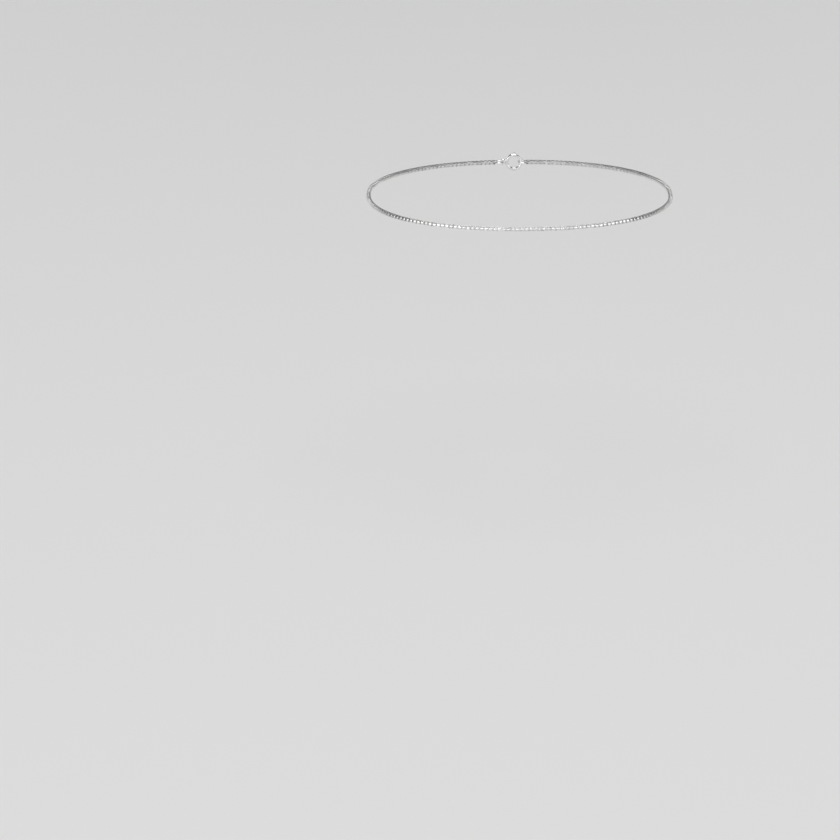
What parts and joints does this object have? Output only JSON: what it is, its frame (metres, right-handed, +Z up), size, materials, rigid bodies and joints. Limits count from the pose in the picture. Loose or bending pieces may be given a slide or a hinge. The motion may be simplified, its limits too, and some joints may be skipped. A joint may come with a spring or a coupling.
{
  "type": "anklet",
  "caption": "Fine silver box-chain anklet in the oval it takes round an ankle, closed at the back with a small spring-ring clasp.",
  "frame": {"origin": "middle of the chain's oval, in the plane of the chain, where the ankle passes through", "axes": "+X across the ankle (the oval's long way), -Y to the front of the ankle and +Y to the clasp at its back, +Z up the leg"},
  "size_m": [0.0916, 0.0706, 0.0058],
  "materials": {
    "chain_silver": "polished sterling silver, finely worn on the links' edges and a little darker between them",
    "clasp_silver": "polished sterling silver with fine handling scratches"
  },
  "bodies": {
    "root": {"chain": "chain_silver", "clasp": "clasp_silver"}
  },
  "joints": []
}
